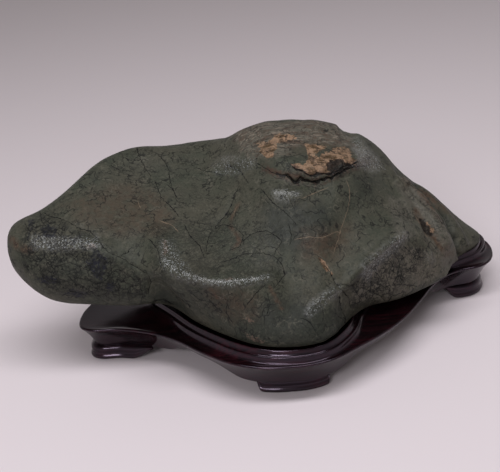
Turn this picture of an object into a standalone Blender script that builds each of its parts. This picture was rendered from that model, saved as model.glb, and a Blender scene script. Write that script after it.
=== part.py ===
"""Scholar's rock on its carved stand.

A waterworn stone about 31 cm long lies in a seat carved into a lobed
hardwood stand on five low feet. The stone is drawn as lines that run
along its length, from the left tip to the right one; the lines make a
coarse cage, the cage is subdivided, and a few long strokes then press in
the hollows and raise the ridges. The stand is its rim outline carried
through a moulded profile, with feet joined on and the seat cut by the
stone itself.

Frame: +X to the right along the length, -Y to the front, +Z up. The
origin is at the middle of the footprint, on the floor.
"""
import bpy
import bmesh
from math import cos, radians, sin
from mathutils import Vector, geometry, noise

MM = 0.001

# --- The stone: lines along its length, in millimetres --------------------
# Each line gives (depth, height) at every station, front to back over the
# top and round underneath.
STATIONS = (-156, -136, -111, -88, -68, -51, -31, -10, 12, 34, 55, 76, 96, 110, 122, 137)
LEFT_TIP = (-161, -2, 78)
RIGHT_TIP = (147, 44, 33)
STONE_LINES = (
    # foot: where the front meets the seat, or turns under the overhanging head
    ((-9, 62), (-16, 47), (-21, 44), (-25, 42), (-24, 41), (-29, 30), (-51, 30), (-65, 29),
     (-70, 29), (-60, 29), (-22, 30), (-6, 30), (6, 30), (12, 30), (22, 29), (32, 29)),
    # skirt: the widest line below the belly
    ((-14, 66), (-25, 53), (-31, 52), (-36, 52), (-38, 51), (-46, 50), (-61, 50), (-72, 48),
     (-75, 48), (-70, 44), (-41, 34.5), (-35, 33.5), (-23, 33.5), (-12, 33.5), (12, 33), (28, 31)),
    # belly: the long rounded ridge across the front
    ((-16, 74), (-29, 65), (-37, 66), (-41, 67), (-45, 69), (-55, 74), (-63, 71), (-62, 70),
     (-63, 63), (-63, 58), (-46, 66), (-28, 71), (-12, 66), (-8, 56), (11, 42), (28, 35)),
    # lap: just above the belly
    ((-15, 81), (-28, 76), (-34, 78), (-37, 80), (-40, 80), (-46, 79), (-53, 76), (-50, 77),
     (-51, 76), (-49, 73), (-34, 75), (-14, 78), (-2, 71), (0, 63), (16, 49), (31, 39)),
    # slope: the middle of the front face
    ((-12, 87), (-23, 85), (-27, 88), (-24, 89), (-22, 87), (-26, 86), (-31, 83), (-34, 86),
     (-35, 91), (-32, 90), (-20, 87), (2, 85), (8, 74), (10, 66), (22, 53), (35, 41)),
    # shelf: under the cap
    ((-8, 91), (-15, 92), (-16, 96), (-7, 95), (-2, 94), (-5, 93), (-8, 91), (-14, 98),
     (-18, 107), (-15, 104), (-8, 101), (15, 92), (18, 77), (20, 68), (29, 55), (39, 42)),
    # brow: the front edge of the cap
    ((-3, 93), (-6, 96), (-4, 101), (12, 101), (18, 101), (16, 100), (15, 99), (2, 108),
     (-8, 117), (-8, 112), (0, 110), (26, 98), (28, 80), (29, 70), (36, 57), (43, 42)),
    # cap: the upper slope
    ((2, 93), (4, 98), (11, 106), (31, 108), (37, 108), (37, 107), (37, 106), (22, 116.5),
     (14, 123), (14, 120), (20, 116), (37, 104), (37, 82), (38, 71), (43, 58), (47, 42)),
    # crest: the skyline
    ((7, 92), (12, 98), (27, 112), (49, 116), (53, 115), (54, 113), (55, 112), (42, 122),
     (35, 128), (36, 127), (42, 120), (47, 107), (46, 82), (47, 71), (50, 57), (51, 41)),
    # nape: behind the crest
    ((11, 87), (22, 92), (44, 106), (64, 109), (68, 108), (70, 107), (72, 107), (62, 116),
     (60, 122), (62, 119), (64, 111), (64, 99), (62, 76), (60, 67), (59, 53), (56, 38)),
    # back: the widest line of the back
    ((12, 78), (26, 76), (54, 82), (72, 84), (78, 82), (82, 80), (84, 80), (84, 80), (86, 80),
     (88, 78), (88, 74), (84, 68), (78, 58), (75, 53), (68, 44), (60, 34)),
    # heel: where the back meets the seat
    ((7, 68), (18, 57), (40, 56), (56, 52), (64, 46), (72, 36), (76, 32), (76, 29), (78, 29),
     (80, 29), (80, 29), (78, 29), (72, 29), (70, 29), (65, 29), (57, 29)),
    # keel: the underside, inside the seat
    ((0, 63), (2, 47), (6, 41), (8, 36), (10, 30), (12, 24), (12, 22), (10, 21), (10, 21),
     (12, 21), (18, 21), (24, 21), (30, 21), (34, 21), (40, 22), (44, 24)),
)
CAGE_ROUNDS = 5
# how far the two end points reach out, as a part of their distance from the nearest ring
TIP_REACH = 0.35
STONE_LEVELS = 2

# Strokes are drawn on the stone as it is seen from in front, or from behind, and 25.5 degrees above.
# Each is (push outwards, half-width, path of (distance along X, rise up the view)). A stroke is
# full on whatever turns towards the view, and fades out over the last few degrees before the edge.
VIEW_TILT = radians(25.5)
EDGE_FADE = 3
FRONT_STROKES = (
    # the crevice under the cap, and the cap's own edge above it
    (-3, 9, ((-22, 106), (-1, 106), (9, 99), (18, 93), (34, 91), (45, 93), (58, 96), (72, 99))),
    (1.5, 9, ((-2, 116), (10, 109), (20, 103), (34, 101), (46, 103), (58, 106))),
    # the step in the skyline to the right of the cap
    (-2.5, 5, ((62, 114), (57, 122))),
    # a swelling below the crevice, and the broad hollow under it
    (2.5, 9, ((4, 88), (24, 85))),
    (-3, 10, ((53, 96), (55, 85), (53, 72), (45, 59), (38, 48))),
    # the shoulder to the left of the cap
    (2, 9, ((-32, 107), (-10, 111))),
    # the belly ridge, with its corner at the left, and the dip across it
    (3, 8, ((-66, 70), (-65, 56), (-58, 44), (-48, 39), (-25, 35), (-2, 36))),
    (-2, 9, ((-80, 66), (-78, 52))),
    (-2.5, 9, ((8, 46), (11, 30), (9, 18))),
    (2, 8, ((24, 30), (34, 26))),
    # the head swells below its long crack and draws in towards the belly
    (2, 9, ((-140, 80), (-120, 76), (-104, 66), (-94, 57))),
    (-3, 14, ((-88, 46), (-78, 40), (-71, 34))),
    (-6, 8, ((-69, 37), (-64, 30), (-59, 23))),
    # the notch between the front lobe and the cracked facet
    (-4, 7, ((36, 32), (43, 22), (43, 9))),
    # the upper edge of the cracked facet and the hollow beside it
    (2, 6, ((46, 33), (58, 41), (74, 52), (84, 56), (94, 57))),
    (-3, 8, ((90, 68), (99, 61), (106, 52))),
    # ribs and grooves down the right flank
    (2.5, 5, ((84, 101), (90, 87), (98, 75), (107, 61), (112, 48))),
    (-3, 6, ((91, 99), (98, 84), (106, 70), (114, 56))),
    (2, 5, ((96, 96), (104, 82), (112, 66), (120, 50))),
    (-3, 6, ((104, 90), (112, 76), (120, 62), (124, 48))),
)
BACK_STROKES = (
    (-5, 22, ((-60, 30), (-30, 38), (0, 34))),
    (3, 12, ((-80, 62), (-40, 68), (0, 62), (40, 66))),
    (-4, 14, ((30, 20), (44, 40), (48, 60))),
    (2.5, 8, ((70, 10), (78, 34), (72, 56))),
)
RIPPLE_HEIGHT = 0.9 * MM
RIPPLE_LENGTH = 26 * MM
# the ripple fades out towards the seat, between these heights
RIPPLE_FADE = (36 * MM, 56 * MM)

# --- The stand, in millimetres ----------------------------------------------
# The rim seen from above, with one lobe over each foot.
RIM = ((-125, -8), (-121, -20), (-100, -24), (-79, -32), (-62, -44), (-46, -61), (-22, -80),
       (4, -86), (28, -83), (48, -70), (64, -58), (80, -42), (94, -22), (106, -4), (122, 9),
       (143, 15), (153, 34), (149, 58), (134, 76), (108, 84), (84, 92), (58, 100), (30, 97),
       (4, 88), (-20, 88), (-46, 93), (-72, 86), (-90, 66), (-100, 44), (-116, 20))
RIM_STEPS = 2
WAY_ROUNDS = 3
# (inset from the rim, height): the hidden underside, the cove up to just below the rim, then over
# the rim and in across the mouldings
UNDERSIDE = (16, 9)
COVE = ((9, 9), (7, 15), (2.2, 22.4))
PROFILE = ((0, 24.6), (0.5, 26), (8.2, 29.4), (10, 31.4), (14, 32.4))
# the cove's lower edge: its height over the feet and in the arches between them, and how far from a
# foot an arch reaches its full height, counted in rim points
COVE_EDGE_LOW, COVE_EDGE_HIGH = 9.4, 18
ARCH_RISE = 0.8
# the same for a foot, from inside the stand down and round under the sole
FOOT_PROFILE = ((10.2, 11), (9.4, 8.8), (6.6, 6.8), (6.2, 3.2), (8, 0), (20, 0), (21, 11))
FOOT_TOP = 11
# feet: (start and end of the sole and length of its scooped ends, counted in rim points; set in):
# the left, front and right ones, then the two at the back
FEET = ((0.1, 2.4, 0.8, 0), (6.15, 8.25, 0.2, 6), (14.3, 16.6, 0.5, 1), (20, 22, 0.5, 2),
        (25, 27, 0.5, 2))
SOLE_STEPS = 4
# every section of a foot points to a centre this far in from its middle
FOOT_CENTRE = 45
# how far each end of a foot has risen to the stand at the steps of its scoop, from the tip in
SCOOP = (0.85, 0.4)
# the seat: a flat-bottomed pit inside the line where the stone meets the stand, then the stone's
# own shape, with a small gap
PIT = ((-46, -18), (-30, -40), (-8, -56), (18, -60), (36, -44), (50, -10), (84, 8), (112, 26),
       (130, 36), (128, 50), (100, 64), (40, 70), (-20, 68), (-48, 58), (-58, 30), (-56, 0))
PIT_FLOOR = 19.3
PIT_TOP = 45
SEAT_GAP = 0.6

STONE_COLOUR = (0.062, 0.065, 0.056, 1)
WOOD_COLOUR = (0.022, 0.010, 0.009, 1)
STONE_ROUGHNESS = 0.4
WOOD_ROUGHNESS = 0.3


def new_object(name, bm, collection):
    mesh = bpy.data.meshes.new(name)
    bmesh.ops.recalc_face_normals(bm, faces=bm.faces[:])
    bm.to_mesh(mesh)
    bm.free()
    ob = bpy.data.objects.new(name, mesh)
    collection.objects.link(ob)
    return ob


def millimetres(points):
    return [Vector(p) * MM for p in points]


def loft(bm, rings, capped=False):
    """Join closed rings of points into a skin, with a face over each end if it is capped."""
    loops = [[bm.verts.new(p) for p in ring] for ring in rings]
    for lower, upper in zip(loops, loops[1:]):
        for k, here in enumerate(lower):
            after = (k + 1) % len(lower)
            bm.faces.new((here, lower[after], upper[after], upper[k]))
    if capped:
        bm.faces.new(loops[0])
        bm.faces.new(loops[-1])
    return loops


# --- The stone --------------------------------------------------------------
def smoothed(cage, tips, i, k):
    """Where subdivision takes the cage point k of ring i: Catmull and Clark's average of it."""
    rows = len(cage[i])
    here, before, after = cage[i][k], cage[i][(k - 1) % rows], cage[i][(k + 1) % rows]
    edges, corners = before + after, Vector()
    for j, tip in ((i - 1, tips[0]), (i + 1, tips[1])):
        if 0 <= j < len(cage):
            edges += cage[j][k]
            corners += cage[j][(k - 1) % rows] + cage[j][(k + 1) % rows]
        else:
            edges += tip
            corners += (2 * here + 2 * tip + before + after) / 3
    return (16 * here + 4 * edges + corners) / 36


def fitted_cage(rings, tips):
    """Push the cage out until the subdivided surface passes through the drawn lines."""
    cage = [list(ring) for ring in rings]
    for _ in range(CAGE_ROUNDS):
        cage = [[cage[i][k] + rings[i][k] - smoothed(cage, tips, i, k) for k in range(len(ring))]
                for i, ring in enumerate(rings)]
    return cage


def stone_cage():
    """The stone's body: lines into rings, rings into a cage, the cage subdivided."""
    rings = [millimetres((x, *line[i]) for line in STONE_LINES) for i, x in enumerate(STATIONS)]
    tips = []
    for tip, ring in zip(millimetres((LEFT_TIP, RIGHT_TIP)), (rings[0], rings[-1])):
        centre = sum(ring, Vector()) / len(ring)
        tips.append(tip + (tip - centre) * TIP_REACH)
    bm = bmesh.new()
    loops = loft(bm, fitted_cage(rings, tips))
    for tip, loop in zip(tips, (loops[0], loops[-1])):
        point = bm.verts.new(tip)
        for here, after in zip(loop, loop[1:] + loop[:1]):
            bm.faces.new((point, here, after))
    ob = new_object("stone", bm, parts)
    soft = ob.modifiers.new("waterworn", "SUBSURF")
    soft.levels = STONE_LEVELS
    soft.render_levels = STONE_LEVELS
    bpy.context.view_layer.objects.active = ob
    bpy.ops.object.modifier_apply(modifier=soft.name)
    return ob


def distance_to(path, spot):
    """How far a spot on the view is from a drawn path."""
    gaps = []
    for start, end in zip(path, path[1:]):
        _, along = geometry.intersect_point_line(spot, start, end)
        nearest = start.lerp(end, min(1, max(0, along)))
        gaps.append((spot - nearest).length)
    return min(gaps)


def press(ob, strokes, behind=False):
    """Push the points that face the view in or out along each stroke, most along its middle."""
    side = 1 if behind else -1
    to_view = Vector((0, side * cos(VIEW_TILT), sin(VIEW_TILT)))
    rise = Vector((0, -side * sin(VIEW_TILT), cos(VIEW_TILT)))
    drawn = [(push * MM, width * MM, millimetres(path)) for push, width, path in strokes]
    normals = [v.normal.copy() for v in ob.data.vertices]
    for v, normal in zip(ob.data.vertices, normals):
        facing = min(1, max(0, EDGE_FADE * normal.dot(to_view)))
        spot = Vector((v.co.x, v.co.dot(rise)))
        for push, width, path in drawn:
            gap = distance_to(path, spot)
            if facing and gap < width:
                v.co += normal * push * facing * (1 - (gap / width) ** 2) ** 2


def ripple(ob):
    """The slow unevenness of a surface worn by water."""
    low, high = RIPPLE_FADE
    normals = [v.normal.copy() for v in ob.data.vertices]
    for v, normal in zip(ob.data.vertices, normals):
        fade = min(1, max(0, (v.co.z - low) / (high - low)))
        v.co += normal * RIPPLE_HEIGHT * fade * noise.noise(v.co / RIPPLE_LENGTH)


# --- The stand --------------------------------------------------------------
def rim_curve():
    """The rim outline as a smooth closed run of points, anticlockwise from above."""
    data = bpy.data.curves.new("rim", "CURVE")
    line = data.splines.new("BEZIER")
    line.bezier_points.add(len(RIM) - 1)
    line.use_cyclic_u = True
    line.resolution_u = RIM_STEPS
    for point, (x, y) in zip(line.bezier_points, RIM):
        point.co = (x * MM, y * MM, 0)
        point.handle_left_type = "AUTO"
        point.handle_right_type = "AUTO"
    ob = bpy.data.objects.new("rim", data)
    parts.objects.link(ob)
    bpy.context.view_layer.update()
    mesh = ob.to_mesh()
    points = [v.co.copy() for v in mesh.vertices]
    bpy.data.objects.remove(ob)
    return points


def ways_in(rim):
    """The way in from each rim point, evened out so that the lines don't cross in the tight lobes."""
    ways = []
    for i in range(len(rim)):
        along = rim[(i + 1) % len(rim)] - rim[i - 1]
        ways.append(Vector((-along.y, along.x, 0)).normalized())
    for _ in range(WAY_ROUNDS):
        ways = [(ways[i - 1] + ways[i] + ways[(i + 1) % len(ways)]).normalized()
                for i in range(len(ways))]
    return ways


def inset_ring(rim, ways, inset, height):
    """The rim moved in by an inset and up to a height."""
    lift = Vector((0, 0, height * MM))
    return [here + way * inset * MM + lift for here, way in zip(rim, ways)]


def cove_inset(height):
    """How far in from the rim the cove lies at a height."""
    for (inset, low), (next_inset, high) in zip(COVE, COVE[1:]):
        if height <= high:
            return inset + (next_inset - inset) * (height - low) / (high - low)
    return COVE[-1][0]


def cove_edge(place):
    """Height of the cove's lower edge at a place counted in drawn rim points."""
    gaps = []
    for start, end, scoop, _ in FEET:
        foot = end - start + 2 * scoop
        along = (place - start + scoop) % len(RIM)
        gaps.append(max(0, min(along - foot, len(RIM) - along)))
    rise = min(1, min(gaps) / ARCH_RISE)
    return COVE_EDGE_LOW + (COVE_EDGE_HIGH - COVE_EDGE_LOW) * rise ** 2 * (3 - 2 * rise)


def cove_rings(rim, ways):
    """Two rings of the cove: its lower edge, and half-way from there to its top."""
    rings = [[], []]
    for i, (here, way) in enumerate(zip(rim, ways)):
        edge = cove_edge(i / RIM_STEPS)
        for ring, height in zip(rings, (edge, (edge + COVE[-1][1]) / 2)):
            ring.append(here + (way * cove_inset(height) + Vector((0, 0, height))) * MM)
    return rings


def on_rim(rim, place):
    """A point of the rim, at a place counted in drawn rim points."""
    spot = place * RIM_STEPS
    i = int(spot // 1)
    return rim[i % len(rim)].lerp(rim[(i + 1) % len(rim)], spot - i)


def add_foot(bm, rim, start, end, scoop, set_in):
    """One foot: its section carried along the rim, drawn up to the stand at both ends."""
    places = [(start - scoop * (1 - i / len(SCOOP)), lift) for i, lift in enumerate(SCOOP)]
    places += [(start + (end - start) * i / SOLE_STEPS, 0) for i in range(SOLE_STEPS + 1)]
    places += [(start + end - place, lift) for place, lift in reversed(places[:len(SCOOP)])]
    chord = on_rim(rim, end) - on_rim(rim, start)
    middle = on_rim(rim, (start + end) / 2)
    centre = middle + Vector((-chord.y, chord.x, 0)).normalized() * FOOT_CENTRE * MM
    sections = []
    for place, lift in places:
        here = on_rim(rim, place)
        inward = (centre - here).normalized()
        sections.append([here + inward * (inset + set_in) * MM
                         + Vector((0, 0, (height + (FOOT_TOP - height) * lift) * MM))
                         for inset, height in FOOT_PROFILE])
    loft(bm, sections, capped=True)


def boolean(ob, tool, operation):
    """Join or cut a body with a tool, which stays behind as a guide."""
    tool.hide_render = True
    tool.display_type = "WIRE"
    change = ob.modifiers.new(tool.name, "BOOLEAN")
    change.object = tool
    change.operation = operation
    change.solver = "EXACT"


def carved_stand(stone):
    rim = rim_curve()
    body = bmesh.new()
    ways = ways_in(rim)
    rings = [inset_ring(rim, ways, *UNDERSIDE), *cove_rings(rim, ways)]
    rings += [inset_ring(rim, ways, inset, height) for inset, height in (COVE[-1], *PROFILE)]
    loft(body, rings, capped=True)
    stand = new_object("stand", body, parts)
    soles = bmesh.new()
    for start, end, scoop, set_in in FEET:
        add_foot(soles, rim, start, end, scoop, set_in)
    boolean(stand, new_object("feet", soles, tools), "UNION")
    well = bmesh.new()
    heights = (PIT_FLOOR, PIT_TOP)
    loft(well, [millimetres((x, y, z) for x, y in PIT) for z in heights], capped=True)
    boolean(stand, new_object("pit", well, tools), "DIFFERENCE")
    seat = bpy.data.objects.new("seat", stone.data.copy())
    tools.objects.link(seat)
    room = seat.modifiers.new("room", "DISPLACE")
    room.strength = SEAT_GAP * MM
    room.mid_level = 0
    boolean(stand, seat, "DIFFERENCE")
    return stand


def material(name, colour, roughness):
    mat = bpy.data.materials.new(name)
    mat.use_nodes = True
    shader = mat.node_tree.nodes["Principled BSDF"]
    shader.inputs["Base Color"].default_value = colour
    shader.inputs["Roughness"].default_value = roughness
    shader.inputs["Metallic"].default_value = 0
    return mat


def centre_on_floor(objects):
    """Shift everything so that the middle of the footprint is the origin."""
    bpy.context.view_layer.update()
    graph = bpy.context.evaluated_depsgraph_get()
    corners = [ob.matrix_world @ Vector(c)
               for ob in objects for c in ob.evaluated_get(graph).bound_box]
    low = Vector([min(c[i] for c in corners) for i in range(3)])
    high = Vector([max(c[i] for c in corners) for i in range(3)])
    shift = -(low + high) / 2
    shift.z = -low.z
    for ob in bpy.context.scene.objects:
        ob.location += shift


def make_model():
    stone = stone_cage()
    press(stone, FRONT_STROKES)
    press(stone, BACK_STROKES, behind=True)
    ripple(stone)
    stone.data.shade_smooth()
    stone.data.materials.append(material("stone", STONE_COLOUR, STONE_ROUGHNESS))
    stand = carved_stand(stone)
    stand.data.materials.append(material("rosewood", WOOD_COLOUR, WOOD_ROUGHNESS))
    centre_on_floor([stone, stand])


for old in list(bpy.data.objects):
    bpy.data.objects.remove(old)
parts = bpy.data.collections.new("scholars rock")
tools = bpy.data.collections.new("cutters")
bpy.context.scene.collection.children.link(parts)
bpy.context.scene.collection.children.link(tools)
make_model()
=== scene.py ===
# %% [markdown]
# # A scholar's rock on its carved stand
# The object is a dark waterworn stone, about 31 cm long, and the small rosewood stand that was
# carved to fit it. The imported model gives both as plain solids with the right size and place. This
# lesson makes the fine surface that the eye reads: worn ridges, a jagged crevice, cracks and ochre
# patches on the stone, and mouldings, scooped feet and lacquer on the stand.

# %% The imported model
from math import radians

import bpy
import numpy as np
from mathutils import Matrix, Vector, noise
from mathutils.bvhtree import BVHTree


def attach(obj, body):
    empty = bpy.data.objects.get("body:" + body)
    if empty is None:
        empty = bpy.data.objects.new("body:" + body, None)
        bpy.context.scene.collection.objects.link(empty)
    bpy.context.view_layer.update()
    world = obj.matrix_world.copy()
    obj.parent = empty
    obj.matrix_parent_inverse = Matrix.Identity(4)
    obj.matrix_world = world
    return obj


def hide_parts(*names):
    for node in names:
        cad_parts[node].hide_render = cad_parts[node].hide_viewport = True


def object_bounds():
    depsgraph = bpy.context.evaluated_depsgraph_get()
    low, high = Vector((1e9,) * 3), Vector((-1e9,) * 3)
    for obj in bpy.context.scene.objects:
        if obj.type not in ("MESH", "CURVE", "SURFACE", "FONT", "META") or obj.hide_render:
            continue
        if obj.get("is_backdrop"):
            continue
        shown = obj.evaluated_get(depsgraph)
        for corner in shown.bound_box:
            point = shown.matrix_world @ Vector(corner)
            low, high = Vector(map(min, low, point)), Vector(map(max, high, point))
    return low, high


MM = 0.001
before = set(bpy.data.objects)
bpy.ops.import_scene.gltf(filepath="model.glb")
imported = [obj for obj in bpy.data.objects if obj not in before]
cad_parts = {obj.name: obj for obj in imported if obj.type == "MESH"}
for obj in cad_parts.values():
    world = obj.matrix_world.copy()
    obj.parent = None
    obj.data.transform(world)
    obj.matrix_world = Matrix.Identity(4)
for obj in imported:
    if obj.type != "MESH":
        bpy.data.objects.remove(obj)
cad_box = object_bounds()
print("box of the packed model, mm:", [[round(c / MM, 1) for c in corner] for corner in cad_box])

# %% [markdown]
# ## Camera
# The stone is seen from in front and 25 degrees above, through a lens of 72 mm from a little over
# half a metre away. The camera is tipped by 5.5 degrees, so it is built from two turns, one about
# X and one about its own line of sight. The same view serves later as a drawing board: cracks and
# patches are drawn on it, and stay on the stone where they fall.

# %% The camera
EYE = Vector((-0.00614, -0.57544, 0.3413))
LENS, SENSOR = 72, 36
FRAME_W, FRAME_H = 500, 472
aim = Matrix.Rotation(radians(90 - 25.5), 4, "X") @ Matrix.Rotation(radians(-5.5), 4, "Z")
bpy.ops.object.camera_add()
camera = bpy.context.object
camera.matrix_world = Matrix.Translation(EYE) @ aim
camera.data.lens = LENS
camera.data.sensor_width = SENSOR
bpy.context.scene.camera = camera
print("camera looks along", [round(c, 3) for c in -aim.col[2].xyz])

# %% [markdown]
# ## Light and floor
# A long soft lamp above the stone draws the bright bands along its ridges, as a strip light over a
# display table does. A second soft lamp stands low at the front left and reaches under the
# overhangs and into the mouldings of the stand. A pale world fills the shadows; like white walls
# under a dark ceiling it fades upwards, which keeps the lacquered tops dark. The floor is a wide
# pale sheet, and it is stage, not part of the object.

# %% A helper for colours
def linear(code, alpha=1.0):
    """A colour written as sRGB hex, turned to the linear values that a shader takes."""
    shares = [int(code[i:i + 2], 16) / 255 for i in (1, 3, 5)]
    return (*[s / 12.92 if s <= 0.04045 else ((s + 0.055) / 1.055) ** 2.4 for s in shares], alpha)


print("middle grey is", round(linear("#808080")[0], 3), "in linear light")

# %% A helper for nodes
def add_node(tree, kind, inputs=(), **settings):
    """Add one shader node: its settings, then each input as a value or as a link from a socket."""
    node = tree.nodes.new("ShaderNode" + kind)
    for name, value in settings.items():
        setattr(node, name, value)
    for name, value in dict(inputs).items():
        if isinstance(value, bpy.types.NodeSocket):
            tree.links.new(value, node.inputs[name])
        else:
            node.inputs[name].default_value = value
    return node


def new_material(name):
    """An empty node material, its Principled shader and its node tree."""
    material = bpy.data.materials.new(name)
    material.use_nodes = True
    return material, material.node_tree, material.node_tree.nodes["Principled BSDF"]

# %% World and lamps
world = bpy.data.worlds.new("studio")
bpy.context.scene.world = world
world.use_nodes = True
sky = world.node_tree
backdrop = sky.nodes["Background"]
backdrop.inputs["Color"].default_value = linear("#EFE9E9")
up = add_node(sky, "SeparateXYZ", {0: add_node(sky, "TexCoord").outputs["Generated"]}).outputs[2]
fading = add_node(sky, "MapRange", {"Value": up, "From Min": 0.15, "From Max": 0.75, "To Min": 0.68,
                                    "To Max": 0.16})
sky.links.new(fading.outputs[0], backdrop.inputs["Strength"])
MIDDLE = Vector((0, 0, 0.05))


def soft_lamp(place, width, depth, watts):
    """An area lamp aimed at the middle of the object."""
    turn = (MIDDLE - Vector(place)).to_track_quat("-Z", "Y").to_euler()
    bpy.ops.object.light_add(type="AREA", location=place, rotation=turn)
    lamp = bpy.context.object
    lamp.data.shape = "RECTANGLE"
    lamp.data.size, lamp.data.size_y = width, depth
    lamp.data.energy = watts
    lamp.data.color = linear("#FBFAFF")[:3]


soft_lamp((0.004, -0.25, 1.15), width=1.3, depth=0.24, watts=12)
soft_lamp((-0.45, -1.2, 0.8), width=0.5, depth=0.3, watts=7)
bpy.context.scene.view_settings.view_transform = "Standard"
print("two lamps and a world")

# %% Floor
FLOOR_WIDTH = 8
bpy.ops.mesh.primitive_plane_add(size=FLOOR_WIDTH)
floor = bpy.context.object
floor.name = "floor"
# uncoated paper: one even tone, with no glint
paper, _, paper_shader = new_material("matte pale paper")
paper_shader.inputs["Base Color"].default_value = linear("#D3CACC")
paper_shader.inputs["Roughness"].default_value = 0.7
floor.data.materials.append(paper)
floor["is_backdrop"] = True
print("a floor", FLOOR_WIDTH, "m wide")

# %% [markdown]
# ## A drawing board
# Ridges, cracks and patches are drawn on the camera's view, as a carver pencils them on a block.
# The board is 500 steps wide and 472 high, with its corner at the top left, and a step is about
# 0.66 mm on the stone. One helper turns places in space into places on the board. Two others
# measure how far a place lies from a drawn path, and whether it lies inside a drawn outline.

# %% Places on the board
eye = np.array(EYE)
axes = np.array(aim.to_3x3())
STEPS = FRAME_W * LENS / SENSOR
STEP_MM = 0.66


def on_board(places):
    """Where places lie on the drawing board."""
    local = (places - eye) @ axes
    return np.stack((FRAME_W / 2 - STEPS * local[:, 0] / local[:, 2],
                     FRAME_H / 2 + STEPS * local[:, 1] / local[:, 2]), axis=1)


def facing(places, normals):
    """How squarely places face the board: 1 if they look at the viewer, below 0 if away."""
    to_eye = eye - places
    to_eye /= np.linalg.norm(to_eye, axis=1)[:, None]
    return np.einsum("ij,ij->i", normals, to_eye)


print("one board step at the origin:", round(np.linalg.norm(eye) / STEPS / MM, 2), "mm")

# %% Paths and outlines on the board
FAR = 1e9


def beside(path, spots):
    """For each spot: its distance to a drawn path, and on which side of the path it lies."""
    nearest = np.full(len(spots), FAR)
    side = np.ones(len(spots))
    for start, end in zip(path, path[1:]):
        start, along = np.array(start, float), np.subtract(end, start).astype(float)
        away = spots - start
        share = np.clip(away @ along / (along @ along), 0, 1)
        gap = np.linalg.norm(away - share[:, None] * along, axis=1)
        closer = gap < nearest
        nearest[closer] = gap[closer]
        side[closer] = np.sign(along[0] * away[closer, 1] - along[1] * away[closer, 0])
    return nearest, side


def inside(outline, spots):
    """Which spots lie inside a closed outline."""
    hits = np.zeros(len(spots), bool)
    for (x0, y0), (x1, y1) in zip(outline, outline[1:] + outline[:1]):
        if y0 != y1:
            crosses = (y0 > spots[:, 1]) != (y1 > spots[:, 1])
            hits ^= crosses & (spots[:, 0] < (x1 - x0) * (spots[:, 1] - y0) / (y1 - y0) + x0)
    return hits


square = ((0, 0), (10, 0), (10, 10), (0, 10))
print("inside a square:", inside(square, np.array(((5, 5), (15, 5)))))

# %% [markdown]
# ## The stone's mesh
# A natural stone has no straight edge to measure from, so its fine surface starts from the plain
# solid. A copy of that solid is welded, its triangles are paired into squares, and one round of
# subdivision makes it smooth. The side that turns towards the viewer is then cut finer, to squares
# of just under a millimetre, and the crevice and the rotten patch are cut once more, because
# cracks and pits need points to stand on.

# %% Selecting
def alone(ob):
    """Select one object only, and make it active."""
    bpy.ops.object.select_all(action="DESELECT")
    ob.select_set(True)
    bpy.context.view_layer.objects.active = ob


def rows_of(items, what):
    """One vector for each point or face of a mesh, as rows of X, Y, Z."""
    flat = np.empty(len(items) * 3, dtype=np.float32)
    items.foreach_get(what, flat)
    return flat.reshape(-1, 3).astype(float)


def place_points(ob, rows):
    """Move every point of a mesh to its row."""
    ob.data.vertices.foreach_set("co", rows.astype(np.float32).ravel())
    ob.data.update()


print("corners of the floor:", rows_of(floor.data.vertices, "co").round(1).tolist())

# %% A welded copy of the plain stone
WELD = 0.01 * MM
stone = bpy.data.objects.new("waterworn_stone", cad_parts["stone"].data.copy())
bpy.context.scene.collection.objects.link(stone)
alone(stone)
bpy.ops.object.mode_set(mode="EDIT")
bpy.ops.mesh.select_all(action="SELECT")
bpy.ops.mesh.remove_doubles(threshold=WELD)
bpy.ops.mesh.tris_convert_to_quads(face_threshold=radians(60), shape_threshold=radians(60))
bpy.ops.mesh.select_mode(type="FACE")
bpy.ops.object.mode_set(mode="OBJECT")


def smooth(ob, rounds):
    """Round a mesh by a subdivision surface, and apply it."""
    alone(ob)
    soft = ob.modifiers.new("smooth", "SUBSURF")
    soft.levels = soft.render_levels = rounds
    bpy.ops.object.modifier_apply(modifier=soft.name)


smooth(stone, 1)
print("faces after one round:", len(stone.data.polygons))

# %% Finer squares where the stone is looked at
# how squarely a face has to look at the viewer to be cut finer
FINE_FACING = 0.12
# the crevice and the rotten patch above it
BROKEN_SKIN = ((262, 166), (290, 156), (318, 142), (350, 142), (362, 164), (330, 187), (290, 187))


def cut_finer(chosen, cuts):
    """Cut the chosen faces of the stone into smaller squares."""
    bpy.ops.object.mode_set(mode="EDIT")
    bpy.ops.mesh.select_all(action="DESELECT")
    bpy.ops.object.mode_set(mode="OBJECT")
    stone.data.polygons.foreach_set("select", chosen)
    bpy.ops.object.mode_set(mode="EDIT")
    bpy.ops.mesh.subdivide(number_cuts=cuts)
    bpy.ops.object.mode_set(mode="OBJECT")


def seen_faces():
    """The centre of each face of the stone, and whether the viewer looks at the face."""
    centres = rows_of(stone.data.polygons, "center")
    return centres, facing(centres, rows_of(stone.data.polygons, "normal")) > FINE_FACING


cut_finer(seen_faces()[1], 2)
print("faces after the fine cuts:", len(stone.data.polygons))
centres, seen = seen_faces()
cut_finer(seen & inside(BROKEN_SKIN, on_board(centres)), 1)
bpy.ops.object.mode_set(mode="EDIT")
bpy.ops.mesh.select_all(action="SELECT")
bpy.ops.mesh.vertices_smooth(factor=0.5, repeat=3)
bpy.ops.object.mode_set(mode="OBJECT")
print("faces after the finest cuts:", len(stone.data.polygons))

# %% [markdown]
# ## Worn ridges and the crevice
# Water leaves rounded ridges and keeps digging where the stone is soft. A stroke moves the points
# along a drawn line in or out of the surface. Its crest can be round, as on a ridge, or sharp, as
# in a crack. The crevice under the cap is drawn as a ledge too: proud above the line, hollow below
# it.

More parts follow.
